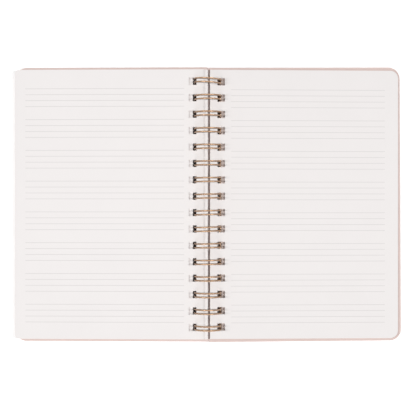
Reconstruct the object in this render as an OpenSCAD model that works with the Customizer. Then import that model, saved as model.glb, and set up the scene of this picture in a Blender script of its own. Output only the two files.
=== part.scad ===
// Open wire-bound notebook, lying flat with its covers spread. The spine runs along Y, the
// head of the book is at +Y, and the origin is on the table under the middle of the spine.
// Left-hand leaves lie on the front cover at -X, right-hand leaves on the back cover at +X.

/* [Leaves] */
// Width of a leaf, from its spine edge to its fore-edge
page_w = 147; // [120:0.5:170]
// Height of a leaf, from head to foot
page_h = 209; // [150:0.5:300]
// Thickness of the leaves that are turned to the left
left_leaves_t = 5.9; // [1:0.1:6]
// Thickness of the leaves that lie on the right
right_leaves_t = 1.4; // [0.4:0.1:1.5]
// Corner radius of the left-hand leaves
left_corner_r = 3; // [0.5:0.5:12]
// Corner radius of the right-hand leaves
right_corner_r = 6; // [0.5:0.5:12]

/* [Fan of the leaves] */
// Number of steps in the fanned edge of the left-hand leaves
left_steps = 9; // [3:1:12]
// Distance from the middle of the spine to the left-hand leaves that lie deepest in it
left_deep_in = 0.4; // [0.1:0.05:0.8]
// How far the lowest left-hand leaves stand back from the spine edge of their cover
foot_square = 0.8; // [0.7:0.05:1.2]
// How late the fan opens: 1 spreads the leaves evenly, more keeps all but the top ones together
left_fan_bend = 6; // [1:0.5:8]
// Number of steps in the fanned edge of the right-hand leaves
right_steps = 3; // [1:1:6]
// Distance from the middle of the spine to the lowest right-hand leaves
right_low_in = 1.4; // [0.65:0.05:1.6]
// How far the top right-hand leaves are drawn out past the lowest ones
right_fan = 0.2; // [0:0.1:1]

/* [Covers] */
// Thickness of a cover board
cover_t = 1.8; // [1.5:0.1:2.5]
// How far a cover stands past the leaves at head and foot
head_square = 2.5; // [1:0.5:6]
// How far a cover stands past the leaves at the fore-edge
fore_square = 3.5; // [1:0.5:6]
// Corner radius of a cover
cover_corner_r = 9; // [1:0.5:20]
// Distance from the middle of the spine to the spine edge of the front cover
front_cover_in = 0.8; // [0.7:0.05:1.2]
// Distance from the middle of the spine to the spine edge of the back cover
back_cover_in = 0.4; // [0.4:0.05:0.8]
// How far the back cover is turned askew in its slots, in degrees
back_cover_skew = 0.3; // [0:0.05:0.35]

/* [Binding wire] */
// Distance from one loop to the next
loop_pitch = 12.7; // [8.5:0.1:15]
// Outer diameter of the closed loops
ring_d = 21.7; // [21:0.1:24]
// Diameter of the wire
wire_d = 1.2; // [0.9:0.05:1.3]
// Distance between the centre lines of the two strands of a loop
strand_gap = 2.9; // [2.6:0.1:3.2]
// Centre-line radius of the bends between a strand and the heel beside it
heel_bend_r = 1.2; // [1:0.05:1.3]
// Length of the straight tail beyond the first and the last loop
tail_l = 1.5; // [0.5:0.1:3]

/* [Slots] */
// Width of a slot, across the spine
slot_w = 6; // [5.6:0.1:6.6]
// Height of a slot, along the spine
slot_h = 5.8; // [5.4:0.1:6.4]
// Least distance from the head or foot of a leaf to the middle of a slot
slot_from_end = 9; // [7:0.5:12]
// Distance from the middle of the spine to the edge of a leaf pulled out level with it
leaf_out = 3.85; // [3.2:0.05:4.3]

/* [Clearances] */
// Clearance between the wire and what it holds
wire_clear = 0.3; // [0.2:0.05:0.35]
// Clearance between the heels of the wire and the leaves that lie on them
heel_clear = 0.2; // [0.1:0.05:0.25]
// Clearance between the leaves and the cover under them
lay_clear = 0.1; // [0.05:0.05:0.2]

/* [Hidden] */

paper_colour = [0.95, 0.93, 0.92];
cover_colour = [0.90, 0.80, 0.78];
wire_colour = [0.74, 0.57, 0.44];
corner_fn = 64;
wire_fn = 24;
ring_fn = 96;
bead_proud = 0.04;
even_fan = 0.1;

cover_w = page_w + fore_square;
cover_h = page_h + 2 * head_square;

// The ring, seen along the spine: its centre is the axis that leaves and covers turn about.
ring_z = ring_d / 2;
ring_r = (ring_d - wire_d) / 2;
ring_in_r = ring_d / 2 - wire_d;
heel_r = norm([ring_r, heel_bend_r]);

// As many loops as the leaves have room for, and the paper between a slot and the spine edge.
loop_count = floor((page_h - 2 * slot_from_end) / loop_pitch) + 1;
loops_l = (loop_count - 1) * loop_pitch;
slot_margin = ring_in_r - wire_clear - leaf_out;

// Each half of the book lies in a plane that slopes down to its fore-edge. A drop is the
// distance of a face below the ring's centre, square to that plane.
function ring_reach(rise) = sqrt(pow(ring_in_r - wire_clear, 2) - pow(rise, 2));
function tilt_on_table(out, drop) = atan2(out, drop) - acos(ring_z / norm([out, drop]));

front_drop = ring_reach(front_cover_in + slot_margin);
front_tilt = tilt_on_table(front_cover_in + cover_w, front_drop);
left_drop = front_drop - cover_t - lay_clear;

skew_shift = (loops_l / 2 + slot_h / 2) * sin(back_cover_skew);
back_drop = ring_reach(back_cover_in + slot_margin + skew_shift);
back_tilt = tilt_on_table(back_cover_in + cover_w, back_drop);
back_top = back_drop - cover_t;

// The heels run along the spine between the back cover and the leaves on it.
heel_drop = back_top - wire_clear - wire_d / 2;
heel_angle = asin(heel_drop / heel_r);
base_angle = back_tilt + heel_angle + atan2(heel_bend_r, ring_r);

// The closed tip of each loop comes down between the bends of its own two strands.
tip_r = strand_gap / 2;
tip_to_heel = sqrt(pow(tip_r + heel_bend_r + wire_d + wire_clear, 2)
                   - pow(tip_r + heel_bend_r, 2)) - heel_bend_r;
tip_angle = back_tilt + heel_angle - tip_to_heel / ring_r * 180 / PI;

// The right-hand leaves lie on the heels at the spine and on the back cover at the fore-edge.
leaf_on_heel = wire_d / 2 + heel_clear;
right_out = right_low_in + page_w;
heel_to_edge = [right_out - heel_r * cos(heel_angle), back_top - lay_clear - heel_drop];
right_rise = atan2(heel_to_edge[1], heel_to_edge[0]) + asin(leaf_on_heel / norm(heel_to_edge));
right_tilt = back_tilt + right_rise;
right_drop = heel_r * sin(heel_angle - right_rise) - leaf_on_heel;

// Each step of a block runs this far into the one above it.
step_lap = 0.01;
left_step_t = (left_leaves_t - step_lap) / left_steps;
right_step_t = (right_leaves_t - step_lap) / right_steps;

function loop_y(k) = k * loop_pitch - loops_l / 2;

// Distance from the spine to a leaf's edge once it is pulled out against the wire.
function pulled_in(rise) = ring_reach(rise) - slot_margin;

// The fan of the left-hand leaves: the lowest step follows the cover, the next ones lie
// deepest in the spine, and the upper ones are drawn out by the wire. A small share of the
// fan opens evenly from step to step.
left_foot_in = front_cover_in + foot_square;
left_fan = pulled_in(left_leaves_t - left_drop) - left_deep_in;
function climbed(i) = (i - 1) / (left_steps - 2);
function fan_share(i) = even_fan * climbed(i) + (1 - even_fan) * pow(climbed(i), left_fan_bend);
function left_in(i) = i == 0 ? left_foot_in : left_deep_in + left_fan * fan_share(i);

module half(tilt) {
    translate([0, 0, ring_z]) rotate([0, tilt, 0]) children();
}

module left_half(tilt) {
    mirror([1, 0, 0]) half(tilt) children();
}

// A sheet with its spine edge at x = edge, square at the spine and rounded at the fore-edge.
module sheet_outline(edge, w, h, r) {
    translate([edge, -h / 2]) square([w - r, h]);
    translate([edge, r - h / 2]) square([w, h - 2 * r]);
    for (side = [-1, 1])
        translate([edge + w - r, side * (h / 2 - r)]) circle(r = r, $fn = corner_fn);
}

module slot_row(edge) {
    for (k = [0 : loop_count - 1])
        translate([edge + slot_margin, loop_y(k) - slot_h / 2]) square([slot_w, slot_h]);
}

module sheet(edge, w, h, r, t) {
    linear_extrude(height = t) difference() {
        sheet_outline(edge, w, h, r);
        slot_row(edge);
    }
}

module cover(edge) {
    sheet(edge, cover_w, cover_h, cover_corner_r, cover_t);
}

module front_cover() {
    color(cover_colour)
        left_half(front_tilt)
            translate([0, 0, -front_drop]) cover(front_cover_in);
}

module back_cover() {
    middle = back_cover_in + cover_w / 2;
    color(cover_colour)
        translate([middle, 0, 0]) rotate([0, 0, back_cover_skew]) translate([-middle, 0, 0])
            half(back_tilt)
                translate([0, 0, -back_drop]) cover(back_cover_in);
}

module left_pages() {
    color(paper_colour)
        left_half(front_tilt)
            for (i = [0 : left_steps - 1])
                translate([0, 0, i * left_step_t - left_drop])
                    sheet(left_in(i), page_w, page_h, left_corner_r, left_step_t + step_lap);
}

module right_pages() {
    color(paper_colour)
        half(right_tilt)
            for (i = [0 : right_steps - 1])
                translate([0, 0, i * right_step_t - right_drop])
                    sheet(right_low_in + right_fan * (i + 1) / right_steps,
                          page_w, page_h, right_corner_r, right_step_t + step_lap);
}

// A place on the ring, measured in degrees from +X over the top: x points outwards there,
// and z along the ring.
module on_ring(angle) {
    translate([0, 0, ring_z]) rotate([0, -angle, 0]) translate([ring_r, 0, 0]) children();
}

module wire_arc(angle, sweep, r) {
    rotate([0, 90, 0]) rotate([0, 0, angle])
        rotate_extrude(angle = sweep, $fn = ring_fn) translate([r, 0]) circle(d = wire_d, $fn = wire_fn);
}

module strand() {
    translate([0, 0, ring_z]) rotate([90, 0, 0]) rotate([0, 0, -tip_angle])
        rotate_extrude(angle = 360 + tip_angle - base_angle, $fn = ring_fn)
            translate([ring_r, 0]) circle(d = wire_d, $fn = wire_fn);
}

module tip() {
    on_ring(-tip_angle) {
        wire_arc(-90, 180, tip_r);
        for (side = [-1, 1])
            translate([0, side * tip_r, 0]) bead();
    }
}

// Lengths of wire meet in a bead that is a hair thicker than the wire.
module bead() {
    sphere(d = wire_d + bead_proud, $fn = wire_fn);
}

module heel_bend(side) {
    on_ring(-base_angle) {
        translate([0, side * (tip_r + heel_bend_r), 0]) {
            wire_arc(side > 0 ? 180 : 90, 90, heel_bend_r);
            translate([0, 0, heel_bend_r]) bead();
        }
        translate([0, side * tip_r, 0]) bead();
    }
}

module heel(from, to) {
    on_ring(-base_angle)
        translate([0, from, heel_bend_r]) rotate([-90, 0, 0])
            cylinder(d = wire_d, h = to - from, $fn = wire_fn);
}

module loop() {
    for (side = [-1, 1]) {
        translate([0, side * tip_r, 0]) strand();
        heel_bend(side);
    }
    tip();
}

// One length of wire: hairpin loops, joined at their open ends by heels along the spine.
module wire_binding() {
    bend_out = tip_r + heel_bend_r;
    color(wire_colour) {
        for (k = [0 : loop_count - 1])
            translate([0, loop_y(k), 0]) loop();
        for (k = [0 : loop_count - 2])
            heel(loop_y(k) + bend_out, loop_y(k + 1) - bend_out);
        heel(loop_y(0) - bend_out - tail_l, loop_y(0) - bend_out);
        heel(loop_y(loop_count - 1) + bend_out, loop_y(loop_count - 1) + bend_out + tail_l);
    }
}

front_cover();
back_cover();
left_pages();
right_pages();
wire_binding();
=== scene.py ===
# %% [markdown]
# # An open wire-bound notebook
# This lesson dresses a finished technical model of a notebook that lies open on a table. The
# technical model fixes where every part sits and how it turns. Here each part gets the look of
# the real material: single sheets of paper, wrapped board and coloured wire.
# %% The technical model
import math
import random

import bpy
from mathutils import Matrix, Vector, noise


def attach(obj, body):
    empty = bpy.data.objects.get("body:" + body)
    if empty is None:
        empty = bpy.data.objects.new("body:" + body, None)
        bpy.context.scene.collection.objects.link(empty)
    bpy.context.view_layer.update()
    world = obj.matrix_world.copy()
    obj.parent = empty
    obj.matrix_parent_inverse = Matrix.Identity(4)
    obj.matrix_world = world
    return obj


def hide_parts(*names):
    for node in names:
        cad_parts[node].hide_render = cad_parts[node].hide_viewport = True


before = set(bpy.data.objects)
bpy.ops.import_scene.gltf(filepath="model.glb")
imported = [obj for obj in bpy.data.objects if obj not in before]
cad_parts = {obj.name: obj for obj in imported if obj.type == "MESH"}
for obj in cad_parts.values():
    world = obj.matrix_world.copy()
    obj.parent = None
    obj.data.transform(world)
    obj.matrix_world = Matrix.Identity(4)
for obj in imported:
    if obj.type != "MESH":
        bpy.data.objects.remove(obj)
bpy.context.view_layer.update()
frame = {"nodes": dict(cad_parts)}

print("nodes:", ", ".join(frame["nodes"]))

# %% [markdown]
# ## The sizes of the book
# Everything on the real book follows from a handful of sizes: the sheet, the board, the ring and
# the punched slots. They are written once, in millimetres, and every piece below is worked out
# from them, so the sheets and the wire keep fitting each other. Blender itself counts in metres.
# %% Sizes
MM = 0.001

page_w, page_h = 147.0, 209.0
cover_w, cover_h = 150.5, 214.0
loop_count, loop_pitch = 16, 12.7
slot_margin, slot_w, slot_h = 5.5, 6.0, 5.8  # the margin is the paper between spine edge and slot

ring_z = 10.85  # height of the ring's middle, which everything turns about
ring_r = 10.25  # radius of the wire's centre line
wire_d = 1.2

print(f"sheet {page_w:g} x {page_h:g} mm, {loop_count} loops {loop_pitch:g} mm apart")

# %% [markdown]
# ## The two halves
# An open book has two halves, and each slopes down a little from the spine to its fore-edge,
# because the ring holds the spine side up. A sheet is easiest to describe as if it lay flat: so
# far out from the spine, so far along it, and so high above the ring's middle. One function then
# tips that place into the sloping half it belongs to. The left half is the mirror of the right.
# %% The slope of each half
LEFT, RIGHT = -1, 1
front_tilt, back_tilt = 1.4935, 1.5376  # slope of the two boards, in degrees
right_leaf_tilt = 2.1975  # the few right-hand leaves lean on the wire as well


def in_half(side, tilt, out, along, rise):
    """The point, in metres, at these millimetres out from the spine, along it and above the middle."""
    lean = math.radians(tilt)
    x = out * math.cos(lean) + rise * math.sin(lean)
    z = ring_z - out * math.sin(lean) + rise * math.cos(lean)
    return Vector((side * x, along, z)) * MM


def loop_y(k):
    """Where loop number k stands along the spine."""
    return (k - (loop_count - 1) / 2) * loop_pitch


print("first loop at", loop_y(0), "mm, last at", loop_y(loop_count - 1), "mm")

# %% [markdown]
# ## The camera
# The book was pictured from straight above, from about as far as an arm's length, so the tops of
# the loops look slightly larger than the table does. A long lens at that height gives the same
# gentle perspective. The camera stands a few millimetres towards the foot of the book.
# %% Camera
eye_height = 750.0
eye_x, eye_y = 0.0, -2.8
view_w = 326.9  # width of the table that the picture takes in
sensor_w = 36.0


def add_object(name, data):
    """A new object in the scene that holds this mesh, curve, lamp or lens."""
    made = bpy.data.objects.new(name, data)
    bpy.context.scene.collection.objects.link(made)
    return made


lens = bpy.data.cameras.new("top_view")
lens.sensor_width = sensor_w
lens.lens = sensor_w * eye_height / view_w
lens.clip_start, lens.clip_end = 0.05, 20
camera = add_object("top_view", lens)
camera.location = Vector((eye_x, eye_y, eye_height)) * MM
bpy.context.scene.camera = camera
print(f"camera {eye_height:g} mm above the table, {lens.lens:.1f} mm lens")

# %% [markdown]
# ## Small helpers for materials
# A material in Blender is a graph of nodes. Most of the work is placing a node, giving it its
# values and wiring it up, so one short function does that. The others stand for the few nodes
# that come back in every finish, and the last one starts a new graph with the one shader that
# all of this book uses.
# %% Material helpers
view_settings = bpy.context.scene.view_settings
view_settings.view_transform = "Standard"


def srgb(red, green, blue):
    """A colour as a colour picker shows it, from 0 to 255, in the linear values that shaders use."""
    def linear(level):
        level /= 255
        return level / 12.92 if level <= 0.04045 else ((level + 0.055) / 1.055) ** 2.4
    return linear(red), linear(green), linear(blue), 1.0


def place(tree, kind, links=None, **values):
    """Adds a node. values sets its own properties, and links what its inputs hold or are wired to."""
    made = tree.nodes.new(kind)
    for name, value in values.items():
        setattr(made, name, value)
    for socket, value in (links or {}).items():
        if isinstance(value, bpy.types.NodeSocket):
            tree.links.new(value, made.inputs[socket])
        else:
            made.inputs[socket].default_value = value
    return made


def math_node(tree, operation, first, second=None, third=None):
    """The output of a Math node. Each input is a number or another node's output."""
    inputs = {i: v for i, v in enumerate((first, second, third)) if v is not None}
    return place(tree, "ShaderNodeMath", inputs, operation=operation).outputs[0]


def mixed(tree, share, first, second):
    """The first colour turned into the second by this share, from 0 to 1."""
    inputs = {"Factor": share, "A": first, "B": second}
    return place(tree, "ShaderNodeMix", inputs, data_type="RGBA").outputs["Result"]


def spread(tree, value, low, high):
    """A value from 0 to 1, spread out from low to high."""
    inputs = {"Value": value, "To Min": low, "To Max": high}
    return place(tree, "ShaderNodeMapRange", inputs).outputs["Result"]


def bump_by(tree, shader, height, strength, depth):
    """Lets this height raise fine bumps on the surface, as deep as this in millimetres."""
    inputs = {"Strength": strength, "Distance": depth * MM, "Height": height}
    bumps = place(tree, "ShaderNodeBump", inputs)
    tree.links.new(bumps.outputs["Normal"], shader.inputs["Normal"])


def socket_names(values):
    """Keyword names as a node spells its sockets, where a _ stands for a space."""
    return {name.replace("_", " "): value for name, value in values.items()}


def start_finish(name, **values):
    """A new material with these values on its main shader: the material, its nodes, the shader."""
    finish = bpy.data.materials.new(name)
    finish.use_nodes = True
    shader = finish.node_tree.nodes["Principled BSDF"]
    for socket, value in socket_names(values).items():
        shader.inputs[socket].default_value = value
    return finish, finish.node_tree, shader


print("view transform:", view_settings.view_transform)

# %% [markdown]
# ## Uneven tone, shared by every finish
# No real surface has one flat colour. Paper is cloudy, wrapping paper takes its dye unevenly, and
# plated wire is a little patchy. All three need the same two things: a soft change of tone, and a
# fine grain to feed the bump. They are built once as a node group. The group gives out only
# numbers, so each material decides for itself what to do with them.
# %% Group: uneven tone
def new_group(name, inputs, outputs):
    """An empty shader node group with these sockets, its input node and its output node."""
    tree = bpy.data.node_groups.new(name, "ShaderNodeTree")
    for label, default in inputs.items():
        socket = tree.interface.new_socket(label, in_out="INPUT", socket_type="NodeSocketFloat")
        socket.default_value = default
    for label in outputs:
        tree.interface.new_socket(label, in_out="OUTPUT", socket_type="NodeSocketFloat")
    return tree, tree.nodes.new("NodeGroupInput"), tree.nodes.new("NodeGroupOutput")


def build_uneven_tone():
    tree, given, result = new_group(
        "uneven_tone",
        {"Cloud Size": 60.0, "Cloud Amount": 0.03, "Grain Size": 2000.0},
        ("Tone", "Grain"),
    )
    where = place(tree, "ShaderNodeTexCoord").outputs["Object"]
    clouds = place(tree, "ShaderNodeTexNoise", {
        "Vector": where, "Scale": given.outputs["Cloud Size"], "Detail": 3.0, "Roughness": 0.55})
    off_middle = math_node(tree, "SUBTRACT", clouds.outputs["Fac"], 0.5)
    tone = math_node(tree, "MULTIPLY_ADD", off_middle, given.outputs["Cloud Amount"], 1.0)
    tree.links.new(tone, result.inputs["Tone"])

    grain = place(tree, "ShaderNodeTexNoise", {
        "Vector": where, "Scale": given.outputs["Grain Size"], "Detail": 2.0, "Roughness": 0.6})
    tree.links.new(grain.outputs["Fac"], result.inputs["Grain"])
    return tree


uneven_tone = build_uneven_tone()
print("group", uneven_tone.name, "gives", [s.name for s in uneven_tone.interface.items_tree
                                          if s.in_out == "OUTPUT"])

# %% [markdown]
# ## Rubbed edges, shared by the wrap and the lining
# Edges lose a little colour where hands touch them. The mesh of a board carries a number at every
# point that says how near it is to the outline, and this group turns that number and some noise
# into a broken mask. Storing it in the mesh keeps the rim exact, whatever shape the board has.
# %% Group: rubbed edge
noise_low, noise_high = 0.35, 0.65  # nearly all of a noise texture lies between these
least_rubbed = 0.5  # what is left of the wear where the hands touched least


def build_rubbed_edge():
    tree, given, result = new_group("rubbed_edge", {"Amount": 0.5, "Patch Size": 300.0}, ("Mask",))
    near = place(tree, "ShaderNodeAttribute", attribute_name="edge_near").outputs["Fac"]
    where = place(tree, "ShaderNodeTexCoord").outputs["Object"]
    patches = place(tree, "ShaderNodeTexNoise", {
        "Vector": where, "Scale": given.outputs["Patch Size"], "Detail": 3.0})
    broken = place(tree, "ShaderNodeMapRange", {
        "Value": patches.outputs["Fac"], "From Min": noise_low, "From Max": noise_high,
        "To Min": least_rubbed, "To Max": 1.0})
    worn = math_node(tree, "MULTIPLY", near, broken.outputs["Result"])
    mask = math_node(tree, "MULTIPLY", worn, given.outputs["Amount"])
    tree.links.new(mask, result.inputs["Mask"])
    return tree


rubbed_edge = build_rubbed_edge()
print("group", rubbed_edge.name, "is ready")

# %% [markdown]
# ## A group in a material
# A group is placed in a material like any other node, with that material's own values on its
# inputs. Most finishes use the tone in the same way, to make their colour a touch lighter here and
# darker there, so that has a short function too.
# %% Groups in use
def use_group(tree, group, **values):
    """Puts a shared group in a material, with this material's own values."""
    return place(tree, "ShaderNodeGroup", socket_names(values), node_tree=group)


def tinted(tree, colour, tone):
    """The colour made a little lighter or darker by a tone near 1."""
    return place(tree, "ShaderNodeVectorMath", {
        0: colour[:3], "Scale": tone}, operation="SCALE").outputs[0]


print("shared groups:", ", ".join(group.name for group in (uneven_tone, rubbed_edge)))

# %% [markdown]
# ## The ruling
# Each page is printed with eight groups of four pale lines, the pattern used for practising
# letters. The lines could be thin strips of mesh, but ink has no thickness, so they belong in the
# material. The position along the page is divided by the distance between lines, and whatever
# falls close to a whole number is ink. Counting the lines within each group leaves the gaps.
# %% Ruling
line_gap = 4.6
group_gap = 23.92
lines_in_group = 4
groups_on_page = 8
line_thick = 0.34
left_first_line, right_first_line = 89.85, 89.15  # from the middle of the page towards its head
left_lines = (-142.0, -18.5)  # how far the lines run across the left-hand page
right_lines = (18.0, 138.3)


def between(tree, value, low, high):
    """1 where the value lies between low and high, else 0."""
    above = math_node(tree, "GREATER_THAN", value, low)
    below = math_node(tree, "LESS_THAN", value, high)
    return math_node(tree, "MULTIPLY", above, below)


def ruling_mask(tree):
    """1 on the printed lines of a page and 0 elsewhere."""
    where = place(tree, "ShaderNodeTexCoord").outputs["Object"]
    axes = place(tree, "ShaderNodeSeparateXYZ", {0: where})
    across = math_node(tree, "DIVIDE", axes.outputs["X"], MM)
    along = math_node(tree, "DIVIDE", axes.outputs["Y"], MM)

    half_thick = line_thick / 2
    on_left_half = math_node(tree, "LESS_THAN", across, 0.0)
    first_line = math_node(tree, "MULTIPLY_ADD", on_left_half,
                           left_first_line - right_first_line, right_first_line + half_thick)
    down = math_node(tree, "SUBTRACT", first_line, along)
    in_group = math_node(tree, "MODULO", down, group_gap)
    in_step = math_node(tree, "MODULO", in_group, line_gap)

    on_line = math_node(tree, "LESS_THAN", in_step, line_thick)
    in_staff = math_node(tree, "LESS_THAN", in_group, lines_in_group * line_gap - half_thick)
    on_page = between(tree, down, 0.0, groups_on_page * group_gap)
    in_width = math_node(tree, "ADD", between(tree, across, *left_lines),
                         between(tree, across, *right_lines))
    mask = math_node(tree, "MULTIPLY", on_line, in_staff)
    mask = math_node(tree, "MULTIPLY", mask, on_page)
    return math_node(tree, "MULTIPLY", mask, in_width)


print(groups_on_page * lines_in_group, "lines on a page")

# %% [markdown]
# ## Paper
# Uncoated writing paper is matt and very slightly warm. Light sinks in a little, so it never
# looks hard. Its fibres show only from close by, as a fine grain in the bump. The leaves differ a
# touch in shade, which is what makes a block of them look like paper from the side: each leaf
# carries its own shade as a number in the mesh.
# %% Paper finish
paper_white = srgb(243, 239, 238)
ink_grey = srgb(218, 214, 213)


def make_paper():
    finish, tree, shader = start_finish("writing_paper", Roughness=0.9, Specular_IOR_Level=0.25)
    uneven = use_group(tree, uneven_tone, Cloud_Size=38.0, Cloud_Amount=0.03, Grain_Size=1600.0)
    shade = place(tree, "ShaderNodeAttribute", attribute_name="leaf_shade").outputs["Fac"]
    tone = math_node(tree, "MULTIPLY", uneven.outputs["Tone"], shade)
    inked = mixed(tree, ruling_mask(tree), tinted(tree, paper_white, tone), ink_grey)
    tree.links.new(inked, shader.inputs["Base Color"])
    bump_by(tree, shader, uneven.outputs["Grain"], strength=0.25, depth=0.03)
    return finish


paper = make_paper()
print("made", paper.name)

# %% [markdown]
# ## Blush wrap and its lining
# The boards are wrapped in a blush-pink covering with a soft, leathery hand, and lined inside
# with a paler sheet. The wrap is a dye colour with cloudy tone, a fine pebble in the bump, and
# edges that have lost a little colour. The lining reuses the same groups with gentler values.
# %% Wrap and lining finishes
blush = srgb(219, 198, 192)
blush_worn = srgb(231, 214, 209)
lining_colour = srgb(240, 226, 221)


def make_wrap():
    finish, tree, shader = start_finish("blush_wrap", Specular_IOR_Level=0.35)
    uneven = use_group(tree, uneven_tone, Cloud_Size=45.0, Cloud_Amount=0.05, Grain_Size=1100.0)
    rubbed = use_group(tree, rubbed_edge, Amount=0.55, Patch_Size=260.0)
    dyed = tinted(tree, blush, uneven.outputs["Tone"])
    tree.links.new(mixed(tree, rubbed.outputs["Mask"], dyed, blush_worn), shader.inputs["Base Color"])
    tree.links.new(spread(tree, uneven.outputs["Grain"], 0.48, 0.66), shader.inputs["Roughness"])
    bump_by(tree, shader, uneven.outputs["Grain"], strength=0.35, depth=0.06)
    return finish


def make_lining():
    finish, tree, shader = start_finish("lining_paper", Roughness=0.85, Specular_IOR_Level=0.25)
    uneven = use_group(tree, uneven_tone, Cloud_Size=30.0, Cloud_Amount=0.03, Grain_Size=1500.0)
    rubbed = use_group(tree, rubbed_edge, Amount=0.4, Patch_Size=200.0)
    dyed = tinted(tree, lining_colour, uneven.outputs["Tone"])
    tree.links.new(mixed(tree, rubbed.outputs["Mask"], dyed, paper_white), shader.inputs["Base Color"])
    bump_by(tree, shader, uneven.outputs["Grain"], strength=0.2, depth=0.03)
    return finish


wrap, lining = make_wrap(), make_lining()
print("made", wrap.name, "and", lining.name)

# %% [markdown]
# ## Rose-gold wire
# The wire is steel with a thin rose-gold coat. It is a metal, so its colour is the colour of its
# reflections. Plating and handling leave it a little patchy, which shows as a slight change of
# tone and, most of all, of roughness. A thin clear coat gives the painted gloss.
# %% Wire finish
rose_gold = srgb(168, 137, 110)


def make_wire_finish():
    finish, tree, shader = start_finish("rose_gold_wire", Metallic=1.0, Coat_Weight=0.25,
                                        Coat_Roughness=0.15)
    uneven = use_group(tree, uneven_tone, Cloud_Size=180.0, Cloud_Amount=0.16, Grain_Size=2600.0)
    tree.links.new(tinted(tree, rose_gold, uneven.outputs["Tone"]), shader.inputs["Base Color"])
    tree.links.new(spread(tree, uneven.outputs["Grain"], 0.2, 0.36), shader.inputs["Roughness"])
    bump_by(tree, shader, uneven.outputs["Grain"], strength=0.2, depth=0.01)
    return finish


wire_finish = make_wire_finish()
print("made", wire_finish.name)

# %% [markdown]
# ## The grid of a punched sheet
# Leaves, boards and linings are all the same thing in different sizes: a rectangle with square
# corners at the spine, rounded corners at the fore-edge and a row of punched slots. Cutting holes
# with booleans works, but it leaves untidy faces. Here the sheet is a grid instead. Its lines run
# along the sides of the slots, and near the fore-edge it is drawn in to follow the round corners.
# %% Lines of the grid
slot_starts = [loop_y(k) - slot_h / 2 for k in range(loop_count)]


def sheet_rows(height, rim):
    """Lines across the sheet: both ends, a line at the rim of each, and two sides of each slot."""
    rows = [-height / 2, height / 2]
    if rim:
        rows += [rim - height / 2, height / 2 - rim]
    for start in slot_starts:
        rows += [start, start + slot_h]
    return sorted(rows)


def sheet_columns(width, corner_r, margin, bands, arc_steps, rim):
    """Lines along the sheet: the rim, the slots, even bands, and short steps round the corner."""
    slots_end, flat_end = margin + slot_w, width - corner_r
    columns = [0.0, rim, margin] if rim else [0.0, margin]
    columns += [slots_end + (flat_end - slots_end) * i / bands for i in range(bands + 1)]
    columns += [flat_end + corner_r * math.sin(math.pi / 2 * i / arc_steps)
                for i in range(1, arc_steps + 1)]
    return columns


def drawn_in(out, width, height, corner_r):
    """How much of its full height the sheet has at this distance from its spine edge."""
    past = max(0.0, out - (width - corner_r))
    short = corner_r - math.sqrt(max(0.0, corner_r ** 2 - past ** 2))
    return 1 - 2 * short / height


print("lines across a leaf:", len(sheet_rows(page_h, 0.0)))

# %% [markdown]
# ## Filling the grid
# The cells between the lines become faces, and those that fall on a slot are left out. Whoever
# asks for a sheet hands over a function that says where each point of it goes, so the same grid
# can slope, sag or be pulled out of square. A block of leaves holds many sheets, so the points
# and faces are collected first and made into one mesh at the end.
# %% Punched sheets
class SheetPile:
    """Collects the points and faces of one or more punched sheets."""

    def __init__(self):
        self.points, self.faces, self.numbers = [], [], {}

    def add(self, side, at, width, height, corner_r, margin=slot_margin, bands=8, arc_steps=6,
            rim=0.0, **numbers):
        """at(out, along) gives the point of the sheet there. numbers are stored with every point.

        A sheet with a rim, in millimetres, also stores how near each point is to the outline."""
        columns = sheet_columns(width, corner_r, margin, bands, arc_steps, rim)
        rows = sheet_rows(height, rim)
        first = len(self.points)
        for out in columns:
            share = drawn_in(out, width, height, corner_r)
            for along in rows:
                self.points.append(at(out, along * share))
                if rim:
                    gap = min(out, width - out, (height / 2 - abs(along)) * share)
                    self.numbers.setdefault("edge_near", []).append(max(0.0, 1 - gap / rim))
        for c in range(len(columns) - 1):
            for r in range(len(rows) - 1):
                if columns[c] == margin and rows[r] in slot_starts:
                    continue
                a = first + c * len(rows) + r
                b = a + len(rows)
                corners = (a, b, b + 1, a + 1)
                self.faces.append(corners if side == RIGHT else corners[::-1])
        for name, value in numbers.items():
            self.numbers.setdefault(name, []).extend([value] * (len(self.points) - first))

    def to_object(self, name, finish):
        """A mesh object of all the sheets so far."""
        mesh = bpy.data.meshes.new(name)
        mesh.from_pydata(self.points, [], self.faces)
        for label, values in self.numbers.items():
            mesh.attributes.new(label, "FLOAT", "POINT").data.foreach_set("value", values)
        mesh.materials.append(finish)
        return add_object(name, mesh)


def thicken(sheet, label, depth):
    """Gives a sheet this thickness, in millimetres, above the face that it was drawn as."""
    thickness = sheet.modifiers.new(label, "SOLIDIFY")
    thickness.thickness = depth * MM
    thickness.offset = 1


print("cells left out of a sheet:", len(slot_starts))

# %% [markdown]
# ## A block of leaves
# A block could be one solid with lines painted on its sides, but its edges would look ruled
# rather than grown. Each leaf is modelled instead: a thin sheet of its own, a hair out of line
# with its neighbours and a touch lighter or darker. Paper also takes up damp unevenly, so the
# block sinks here and there by a few tenths of a millimetre, most at the top.
# %% Block of leaves
leaf_pitch = 0.1  # one leaf and the air above it
leaf_t = 0.085
stray = random.Random(21)
edge_stray, shift_stray, turn_stray = 0.08, 0.12, 0.03  # out, along, and turned in degrees
darkest_leaf = 0.965
wave_out, wave_along = 70, 95  # length of the slow waves in the paper
wave_slice = 3.7  # the slice of the noise that the waves are taken from


def cockle(out, along):
    """How far paper sags at this place, from 0 to 1, in slow waves."""
    wave = noise.noise(Vector((out / wave_out, along / wave_along, wave_slice)))
    return min(1.0, max(0.0, 0.5 + wave))


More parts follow.
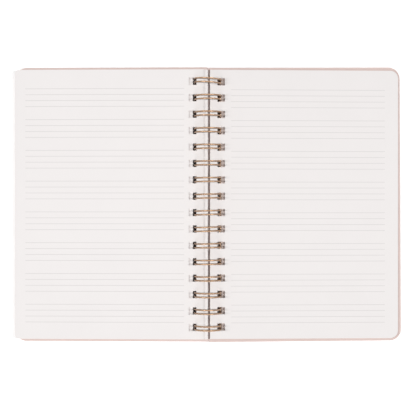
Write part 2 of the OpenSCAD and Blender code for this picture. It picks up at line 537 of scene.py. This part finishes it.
def leaf_block(name, side, tilt, low_rise, thick, corner_r, spine_edge, sag):
    """A block of leaves. spine_edge(share) gives a leaf's edge at that share of the height."""
    pile = SheetPile()
    count = round(thick / leaf_pitch)
    for number in range(count):
        share = number / (count - 1)
        edge = spine_edge((number + 0.5) / count) + stray.uniform(-edge_stray, edge_stray)
        shift = stray.uniform(-shift_stray, shift_stray)
        turn = math.radians(stray.uniform(-turn_stray, turn_stray))
        rise = low_rise + number * leaf_pitch
        shade = stray.uniform(darkest_leaf, 1.0)

        def at(out, along):
            sunk = sag * share * cockle(out, along)
            return in_half(side, tilt, edge + out - along * turn, along + shift + out * turn,
                           rise - sunk)

        pile.add(side, at, page_w, page_h, corner_r, leaf_shade=shade)
    block = pile.to_object(name, paper)
    thicken(block, "leaf thickness", leaf_t)
    print(name, "has", count, "leaves")
    return block


print("a leaf and its air take up", leaf_pitch, "mm")

# %% [markdown]
# ## How the leaves hang on the ring
# The leaves hang on a round wire, so their spine edges can't lie straight above each other. On
# the left they hang in bunches. The lowest bunch stays with its board, the next ones lie deep in
# the spine, and the ring draws the top ones out, so only their edges fan. The few leaves on the
# right lie nearly square.
# %% Spine edges
left_foot, left_deep, left_drawn = 1.6, 0.05, 3.35  # spine edge of the lowest, deepest, top bunch
bunches = 11  # leaves that hang together, the lowest bunch staying with its board
drawn_bunches = 3  # how many bunches, counted from the top, the ring draws right out
bunch_step = 0.06  # how much further in each bunch lies than the one below it
right_low, right_fan = 1.72, 0.15  # spine edge of the lowest leaf, and how far the top one passes it


def left_spine_edge(share):
    """How far from the middle line a left leaf starts, at this share of the block's height."""
    bunch = int(share * bunches)
    if bunch == 0:
        return left_foot
    if bunch < bunches - drawn_bunches:
        return left_deep + bunch_step * (bunch - 1)
    return left_drawn - bunch_step * (bunches - 1 - bunch)


def right_spine_edge(share):
    """The same for a right leaf."""
    return right_low + right_fan * share


print(f"spine edge of the lowest leaf: {left_spine_edge(0):g} mm left, {right_spine_edge(0):g} mm right")

# %% [markdown]
# ## The two blocks
# The book lies open near its end, so the left block is thick and the right one thin. Both ride on
# the bodies of the technical model, so they turn with the ring's middle as their axis.
# %% Leaves in place
left_rise, right_rise = -5.01, -3.19  # of the lowest leaf, from the ring's middle
left_thick, right_thick = 5.9, 1.4
left_corner_r, right_corner_r = 3.0, 6.0
left_sag, right_sag = 0.3, 0.1

left_leaves = leaf_block("left_leaves", LEFT, front_tilt, left_rise, left_thick, left_corner_r,
                         left_spine_edge, left_sag)
right_leaves = leaf_block("right_leaves", RIGHT, right_leaf_tilt, right_rise, right_thick,
                          right_corner_r, right_spine_edge, right_sag)
for leaves, node, body in ((left_leaves, "left_pages", "left_leaves"),
                           (right_leaves, "right_pages", "right_leaves")):
    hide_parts(node)
    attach(leaves, body)

# %% [markdown]
# ## Where the boards lie
# The boards hang loosely in their slots, so they never lie quite square. The back one is turned a
# little, and the spine edge of the front one is drawn out until it meets it, which closes the seam.
# The ring curves in below the leaves, so the slots of the back board stand nearer the spine than
# those of the leaves on it. Each board gets a function that settles its points into place.
# %% Places of the boards
front_spine_edge, back_spine_edge = 0.8, 0.4
front_margin, back_margin = slot_margin, 4.0  # from a board's spine edge to its slots
front_drop, back_drop = 6.9089, 6.8033  # from the ring's middle down to a board's outer face
back_skew = 0.3  # in degrees
seam = 0.8  # how far the front board's spine edge is drawn out at the middle of its height


def askew(point):
    """Turns a point of the back board about the board's own middle."""
    middle_x = (back_spine_edge + cover_w / 2) * MM
    turn = math.radians(back_skew)
    x, y = point.x - middle_x, point.y
    return Vector((middle_x + x * math.cos(turn) - y * math.sin(turn),
                   x * math.sin(turn) + y * math.cos(turn), point.z))


def meeting(point):
    """Draws the front board's spine edge, in front of its slots, out along the back board's edge."""
    slots_at = (front_spine_edge + front_margin) * MM
    near = max(0.0, (slots_at + point.x) / (front_margin * MM))
    reach = seam * MM - point.y * math.tan(math.radians(back_skew))
    return point + Vector((near * reach, 0.0, 0.0))


print("the back board is turned by", back_skew, "degrees")

# %% [markdown]
# ## A board and its lining
# A cover is a stiff board, wrapped and lined. Wrapping softens every edge, so a plain slab would
# look wrong however good its material is. The slab starts as a punched sheet, gets its thickness,
# and then a small round along every edge, at the slots too. The lining is a thin sheet on top that
# stops short of the edges, which leaves the turned-in wrap showing all round it. Both have a rim,
# so their meshes store where the edges are rubbed.
# %% Building a board
board_t, lining_t = 1.7, 0.08
cover_corner_r = 9.0
edge_round = 0.45
worn_rim = 1.3  # how far in from the outline the edges are rubbed
lining_inset = 4.0  # from the head, foot and fore-edge of the board
lining_spine_inset = 1.5


def board(name, side, tilt, spine_edge, margin, drop, settle):
    """A wrapped board whose outer face lies this far below the ring's middle."""
    pile = SheetPile()
    pile.add(side, lambda out, along: settle(in_half(side, tilt, spine_edge + out, along, -drop)),
             cover_w, cover_h, cover_corner_r, margin, bands=10, arc_steps=10, rim=worn_rim)
    made = pile.to_object(name, wrap)
    thicken(made, "board", board_t)
    softened = made.modifiers.new("soft edges", "BEVEL")
    softened.width = edge_round * MM
    softened.segments = 4
    softened.limit_method = "ANGLE"
    softened.angle_limit = math.radians(50)
    return made


def board_lining(name, side, tilt, spine_edge, margin, drop, settle):
    """The paler sheet on the inner face of a board."""
    pile = SheetPile()
    edge, rise = spine_edge + lining_spine_inset, board_t - drop
    pile.add(side, lambda out, along: settle(in_half(side, tilt, edge + out, along, rise)),
             cover_w - lining_spine_inset - lining_inset, cover_h - 2 * lining_inset,
             cover_corner_r - lining_inset, margin - lining_spine_inset, bands=10, arc_steps=8,
             rim=worn_rim)
    made = pile.to_object(name, lining)
    thicken(made, "lining", lining_t)
    return made


print(f"a board is {board_t:g} mm thick and its lining {lining_t:g} mm")

# %% [markdown]
# ## The two covers
# Front and back are made by the same two functions. The row for each cover holds the node that it
# stands for and all that differs between them: its side, slope, spine edge, slots and settling.
# %% Boards and linings in place
covers = {
    "front": ("front_cover", LEFT, front_tilt, front_spine_edge, front_margin, front_drop, meeting),
    "back": ("back_cover", RIGHT, back_tilt, back_spine_edge, back_margin, back_drop, askew),
}
for body, (node, *form) in covers.items():
    shell = board(body + "_board", *form)
    inner = board_lining(body + "_lining", *form)
    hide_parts(node)
    for piece in (shell, inner):
        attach(piece, body)
    print(shell.name, "and", inner.name, "ride on", body)

# %% [markdown]
# ## One loop of the wire
# One long wire binds the book. It runs along the spine as a heel, turns up into a loop, goes round
# the ring to its tip, turns back beside itself, and runs on to the next loop. Modelled as rings it
# would look like a row of separate pieces, so it is one line of points, built the way the bending
# machine works: heel, bend, strand, tip, strand, bend.
# %% One loop
base_below, tip_below = 31.64, 13.82  # where a loop starts and ends, below the level of the middle
base_angle, tip_angle = 360 - base_below, -tip_below  # the same as angles of the ring, in degrees
tip_r = 1.45  # half the distance between the two strands of a loop
heel_bend_r = 1.2
strand_step = 4.0  # degrees of the ring between points
bend_steps, tip_steps = 6, 12


def on_ring(angle, along, beyond=0.0, slope=0.0):
    """A point at this angle of the ring. beyond runs on along the ring's own direction."""
    a = math.radians(angle)
    x = ring_r * math.cos(a) - beyond * math.sin(a)
    z = ring_z + ring_r * math.sin(a) + beyond * math.cos(a)
    return Vector((x, along + x * slope, z)) * MM


def heel_bend(y, slope, side):
    """The quarter turn from a loop's strand to its heel, towards the foot (-1) or the head (1)."""
    points = []
    for i in range(bend_steps + 1):
        a = math.pi / 2 * i / bend_steps
        sideways = tip_r + heel_bend_r * (1 - math.cos(a))
        points.append(on_ring(base_angle, y + side * sideways, heel_bend_r * math.sin(a), slope))
    return points


def loop_points(y, slope):
    """The centre line of one loop, from the end of one heel to the start of the next."""
    steps = round((base_angle - tip_angle) / strand_step)
    angles = [base_angle + (tip_angle - base_angle) * i / steps for i in range(1, steps)]
    going = [on_ring(a, y - tip_r, slope=slope) for a in angles]
    coming = [on_ring(a, y + tip_r, slope=slope) for a in reversed(angles)]
    around = [on_ring(tip_angle, y - tip_r * math.cos(a), -tip_r * math.sin(a), slope)
              for a in (math.pi * i / tip_steps for i in range(tip_steps + 1))]
    return heel_bend(y, slope, -1)[::-1] + going + around + coming + heel_bend(y, slope, 1)


print("points in a loop:", len(loop_points(0.0, 0.0)))

# %% [markdown]
# ## The whole wire
# Sixteen loops in a row make the wire, with a short straight tail at each end. A bent wire is
# never perfectly regular: the loop nearest the head leans over, and a few in the middle lean a
# little the other way. A curve with a round section follows the points.
# %% Wire
tail_l = 1.5
head_loop_slope = -0.06  # the loop nearest the head leans over
lean_middle, lean_width, lean_most = 6.5, 2.6, 0.033  # loops here lean a little the other way


def loop_slope(k):
    """How far loop number k runs aslant across the spine, as a slope."""
    if k == loop_count - 1:
        return head_loop_slope
    return lean_most * math.exp(-((k - lean_middle) / lean_width) ** 2)


def wire_points():
    """The centre line of the whole wire."""
    past_loop = tip_r + heel_bend_r + tail_l
    points = [on_ring(base_angle, loop_y(0) - past_loop, heel_bend_r)]
    for k in range(loop_count):
        points += loop_points(loop_y(k), loop_slope(k))
    points.append(on_ring(base_angle, loop_y(loop_count - 1) + past_loop, heel_bend_r))
    return points


def make_wire():
    points = wire_points()
    line = bpy.data.curves.new("binding_wire", "CURVE")
    line.dimensions = "3D"
    line.bevel_depth = wire_d / 2 * MM
    line.bevel_resolution = 4
    line.use_fill_caps = True
    spline = line.splines.new("POLY")
    spline.points.add(len(points) - 1)
    for spline_point, point in zip(spline.points, points):
        spline_point.co = (*point, 1)
    spline.use_smooth = True
    line.materials.append(wire_finish)
    length = sum((b - a).length for a, b in zip(points, points[1:]))
    print(f"one wire, {length:.2f} m long, {len(points)} points")
    return add_object("binding_wire", line)


binding = make_wire()
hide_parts("wire_binding")
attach(binding, "back")

# %% [markdown]
# ## Table and sky
# The book lies on a plain white table under an even sky. Both are bright only for what the camera
# and reflections see. The light itself meets a greyer table and a dimmer sky, so neither throws
# too much light on the book, and the table keeps the soft shadow.
# %% Table and sky
table_size = 6.0  # in metres
table_white = 1.28  # what the camera sees, so that the soft shade round the book stays white
table_grey = 0.75  # what the light sees
sky_white, sky_dim = 1.0, 0.27  # the same two for the strength of the sky


def seen_directly(tree):
    """1 for rays of the camera, reflections and clear things, and 0 for rays that carry light."""
    rays = place(tree, "ShaderNodeLightPath").outputs
    seen = math_node(tree, "MAXIMUM", rays["Is Camera Ray"], rays["Is Glossy Ray"])
    return math_node(tree, "MAXIMUM", seen, rays["Is Transmission Ray"])


def make_table():
    mesh = bpy.data.meshes.new("table")
    h = table_size / 2
    mesh.from_pydata([(-h, -h, 0), (h, -h, 0), (h, h, 0), (-h, h, 0)], [], [(0, 1, 2, 3)])
    finish, tree, shader = start_finish("table_white", Roughness=1.0, Specular_IOR_Level=0.0)
    colour = mixed(tree, seen_directly(tree), (table_grey, table_grey, table_grey, 1),
                   (table_white, table_white, table_white, 1))
    tree.links.new(colour, shader.inputs["Base Color"])
    mesh.materials.append(finish)
    add_object("table", mesh)


def make_sky():
    sky = bpy.data.worlds.new("studio")
    bpy.context.scene.world = sky
    sky.use_nodes = True
    tree = sky.node_tree
    background = tree.nodes["Background"]
    background.inputs["Color"].default_value = (1, 1, 1, 1)
    strength = spread(tree, seen_directly(tree), sky_dim, sky_white)
    tree.links.new(strength, background.inputs["Strength"])


make_table()
make_sky()
print(f"a table {table_size:g} m wide under a white sky")

# %% [markdown]
# ## Lamps
# The light is plain and soft, at a level where a colour comes out about as it is written. A tall,
# narrow lamp stands on each side, level with the camera along the spine, so a strand of wire
# throws its shadow straight behind itself, where it is hardly seen, and the paper beside it stays
# bright. A weaker lamp at the foot gives the shapes a direction.
# %% Lamps
side_out, side_up = 0.62, 1.0  # where a side lamp stands, in metres
side_wide, side_tall, side_power = 0.07, 0.65, 5.3
foot_at, foot_size, foot_power = (0.0, -1.4, 1.9), 1.3, 8.0


def soft_lamp(name, at, wide, tall, power):
    """A soft lamp, turned towards the book. It is this wide along the table, and this tall."""
    lamp = bpy.data.lights.new(name, "AREA")
    lamp.shape = "RECTANGLE"
    lamp.size, lamp.size_y = wide, tall
    lamp.energy = power
    made = add_object(name, lamp)
    made.location = at
    made.rotation_mode = "QUATERNION"
    made.rotation_quaternion = (-Vector(at)).to_track_quat("-Z", "Y")


for name, side in (("left_lamp", LEFT), ("right_lamp", RIGHT)):
    soft_lamp(name, (side * side_out, eye_y * MM, side_up), side_wide, side_tall, side_power)
soft_lamp("foot_lamp", foot_at, foot_size, foot_size, foot_power)
print("three lamps of", side_power, side_power, "and", foot_power, "W")
